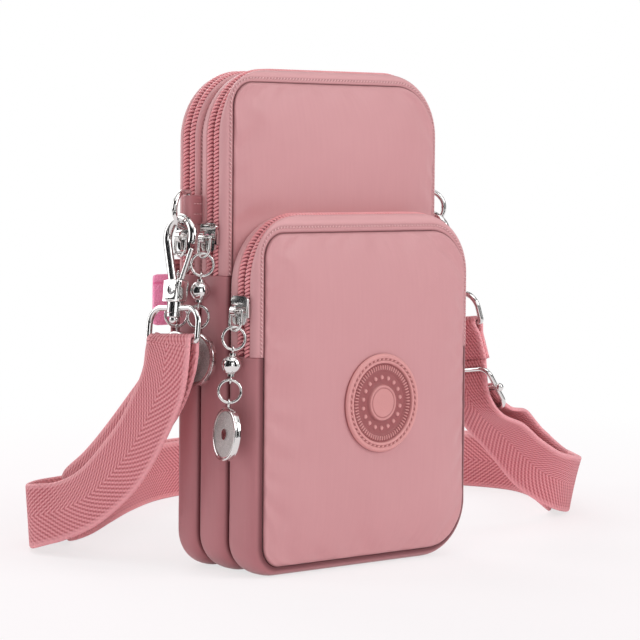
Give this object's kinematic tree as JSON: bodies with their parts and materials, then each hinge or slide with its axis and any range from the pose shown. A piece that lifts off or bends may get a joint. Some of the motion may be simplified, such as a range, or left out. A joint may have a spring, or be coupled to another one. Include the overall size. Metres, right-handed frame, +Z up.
{
  "type": "phone pouch",
  "caption": "Upright fabric phone pouch with zipped compartments, ring pulls with bead charms, side D-rings with swivel hooks, a webbing shoulder strap and an elastic arm band.",
  "frame": {"origin": "middle of the base of the middle compartment, on the surface that the pouch stands on", "axes": "+X to the right seen from the front, +Y to the back, +Z up along the pouch's height"},
  "size_m": [0.2917, 0.2201, 0.185],
  "materials": {
    "shell_fabric": "satin",
    "gusset_fabric": "satin",
    "zip_tape": "satin",
    "zip_coil": "gloss",
    "webbing": "matte",
    "patch": "satin",
    "hardware": "mirror",
    "hook_and_loop": "matte",
    "elastic": "matte",
    "spring": "satin"
  },
  "bodies": {
    "pouch": {"back_panel": "shell_fabric", "divider_panel": "gusset_fabric", "main_front_panel": "shell_fabric", "pocket_front_panel": "shell_fabric", "pocket_patch": "patch", "rear_gusset": "gusset_fabric", "rear_zip_facing": "shell_fabric", "rear_zip_tape": "zip_tape", "rear_zip_coils": "zip_coil", "middle_gusset": "gusset_fabric", "middle_zip_facing": "shell_fabric", "middle_zip_tape": "zip_tape", "middle_zip_coils": "zip_coil", "pocket_gusset": "gusset_fabric", "pocket_zip_facing": "shell_fabric", "pocket_zip_tape": "zip_tape", "pocket_zip_coils": "zip_coil", "left_ring_tab": "gusset_fabric", "right_ring_tab": "gusset_fabric", "left_swivel_ring": "hardware", "right_swivel_ring": "hardware", "strap_outer_leaf": "webbing", "strap_inner_leaf": "webbing", "strap_turn": "webbing", "strap_end_loop": "webbing", "strap_slider_frame": "hardware", "strap_slider_bar": "hardware", "arm_band": "elastic", "arm_band_tab": "hook_and_loop"},
    "rear_slider": {"rear_zip_slider": "hardware"},
    "rear_pull": {"rear_pull_loop": "hardware"},
    "rear_ring_1": {"rear_upper_ring": "hardware"},
    "rear_bead": {"rear_bead": "hardware"},
    "rear_ring_2": {"rear_lower_ring": "hardware"},
    "rear_coin": {"rear_coin": "hardware"},
    "middle_slider": {"middle_zip_slider": "hardware"},
    "middle_pull": {"middle_pull_loop": "hardware"},
    "middle_ring_1": {"middle_upper_ring": "hardware"},
    "middle_bead": {"middle_bead": "hardware"},
    "middle_ring_2": {"middle_lower_ring": "hardware"},
    "middle_coin": {"middle_coin": "hardware"},
    "pocket_slider": {"pocket_zip_slider": "hardware"},
    "pocket_pull": {"pocket_pull_loop": "hardware"},
    "pocket_ring_1": {"pocket_upper_ring": "hardware"},
    "pocket_bead": {"pocket_bead": "hardware"},
    "pocket_ring_2": {"pocket_lower_ring": "hardware"},
    "pocket_coin": {"pocket_coin": "hardware"},
    "left_ring": {"left_d_ring": "hardware"},
    "left_hook_swivel": {"left_hook": "hardware", "left_rivet": "hardware", "left_gate_spring": "spring"},
    "left_gate_arm": {"left_gate": "hardware"},
    "right_ring": {"right_d_ring": "hardware"},
    "right_hook_swivel": {"right_hook": "hardware", "right_rivet": "hardware", "right_gate_spring": "spring"},
    "right_gate_arm": {"right_gate": "hardware"}
  },
  "joints": [
    {"name": "rear_zip_slide", "type": "slide", "parent": "pouch", "child": "rear_slider", "axis": [0, 0, 1], "range_m": [-0.0085, 0.01]},
    {"name": "rear_pull_hinge", "type": "hinge", "parent": "rear_slider", "child": "rear_pull", "pos_m": [-0.05755, 0.01354, 0.124], "axis": [0, 1, 0], "range_deg": [0, 1]},
    {"name": "rear_upper_ring_hinge", "type": "hinge", "parent": "rear_pull", "child": "rear_ring_1", "pos_m": [-0.05822, 0.01354, 0.11663], "axis": [1, 0, 0], "range_deg": [-3, 0]},
    {"name": "rear_bead_hinge", "type": "hinge", "parent": "rear_ring_1", "child": "rear_bead", "pos_m": [-0.05884, 0.01354, 0.10981], "axis": [1, 0, 0], "range_deg": [-3, 0]},
    {"name": "rear_lower_ring_hinge", "type": "hinge", "parent": "rear_bead", "child": "rear_ring_2", "pos_m": [-0.05995, 0.01354, 0.09766], "axis": [1, 0, 0], "range_deg": [-3, 0]},
    {"name": "rear_coin_hinge", "type": "hinge", "parent": "rear_ring_2", "child": "rear_coin", "pos_m": [-0.0593, 0.01354, 0.09069], "axis": [1, 0, 0], "range_deg": [-5, 0]},
    {"name": "middle_zip_slide", "type": "slide", "parent": "pouch", "child": "middle_slider", "axis": [0, 0, 1], "range_m": [-0.007, 0.01]},
    {"name": "middle_pull_hinge", "type": "hinge", "parent": "middle_slider", "child": "middle_pull", "pos_m": [-0.05755, -0.00032, 0.124], "axis": [0, 1, 0], "range_deg": [0, 1]},
    {"name": "middle_upper_ring_hinge", "type": "hinge", "parent": "middle_pull", "child": "middle_ring_1", "pos_m": [-0.05835, -0.00032, 0.11664], "axis": [1, 0, 0], "range_deg": [-1.5, 1]},
    {"name": "middle_bead_hinge", "type": "hinge", "parent": "middle_ring_1", "child": "middle_bead", "pos_m": [-0.05909, -0.00032, 0.10983], "axis": [1, 0, 0], "range_deg": [-1.5, 1]},
    {"name": "middle_lower_ring_hinge", "type": "hinge", "parent": "middle_bead", "child": "middle_ring_2", "pos_m": [-0.06041, -0.00032, 0.0977], "axis": [1, 0, 0], "range_deg": [-1.5, 1]},
    {"name": "middle_coin_hinge", "type": "hinge", "parent": "middle_ring_2", "child": "middle_coin", "pos_m": [-0.06116, -0.00093, 0.09077], "axis": [1, 0, 0], "range_deg": [-2, 2]},
    {"name": "pocket_zip_slide", "type": "slide", "parent": "pouch", "child": "pocket_slider", "axis": [0, 0, 1], "range_m": [-0.0115, 0.0005]},
    {"name": "pocket_pull_hinge", "type": "hinge", "parent": "pocket_slider", "child": "pocket_pull", "pos_m": [-0.05755, -0.01826, 0.098], "axis": [0, 1, 0], "range_deg": [0, 100]},
    {"name": "pocket_upper_ring_hinge", "type": "hinge", "parent": "pocket_pull", "child": "pocket_ring_1", "pos_m": [-0.05826, -0.01826, 0.09063], "axis": [0, 1, 0], "range_deg": [0, 20]},
    {"name": "pocket_bead_hinge", "type": "hinge", "parent": "pocket_ring_1", "child": "pocket_bead", "pos_m": [-0.05892, -0.01826, 0.08382], "axis": [-0.7431, 0.6691, 0], "range_deg": [0, 20]},
    {"name": "pocket_lower_ring_hinge", "type": "hinge", "parent": "pocket_bead", "child": "pocket_ring_2", "pos_m": [-0.06009, -0.01826, 0.07167], "axis": [0.6691, 0.7431, 0], "range_deg": [0, 20]},
    {"name": "pocket_coin_hinge", "type": "hinge", "parent": "pocket_ring_2", "child": "pocket_coin", "pos_m": [-0.06076, -0.01826, 0.0647], "axis": [-0.7431, 0.6691, 0], "range_deg": [0, 20]},
    {"name": "left_d_ring_hinge", "type": "hinge", "parent": "pouch", "child": "left_ring", "pos_m": [-0.059, 0.0075, 0.134], "axis": [0, 0, 1], "range_deg": [-15, 6]},
    {"name": "left_hook_swivel_hinge", "type": "hinge", "parent": "pouch", "child": "left_hook_swivel", "pos_m": [-0.06796, 0.00409, 0.09828], "axis": [0.1303, 0.0523, 0.9901], "range_deg": [-15, 8]},
    {"name": "left_gate_hinge", "type": "hinge", "parent": "left_hook_swivel", "child": "left_gate_arm", "pos_m": [-0.06701, 0.00317, 0.10548], "axis": [-0.9914, 0, 0.1305], "range_deg": [0, 22], "stiffness_Nm_per_rad": 0.02, "springref_deg": -20.05},
    {"name": "right_d_ring_hinge", "type": "hinge", "parent": "pouch", "child": "right_ring", "pos_m": [0.059, 0.0075, 0.134], "axis": [0, 0, 1], "range_deg": [-4, 10]},
    {"name": "right_hook_swivel_hinge", "type": "hinge", "parent": "pouch", "child": "right_hook_swivel", "pos_m": [0.07068, 0.00106, 0.09909], "axis": [-0.249, 0.1045, 0.9628], "range_deg": [-10, 3]},
    {"name": "right_gate_hinge", "type": "hinge", "parent": "right_hook_swivel", "child": "right_gate_arm", "pos_m": [0.06885, 0.00052, 0.10616], "axis": [-0.9681, 0, -0.2504], "range_deg": [0, 22], "stiffness_Nm_per_rad": 0.02, "springref_deg": -20.05}
  ]
}
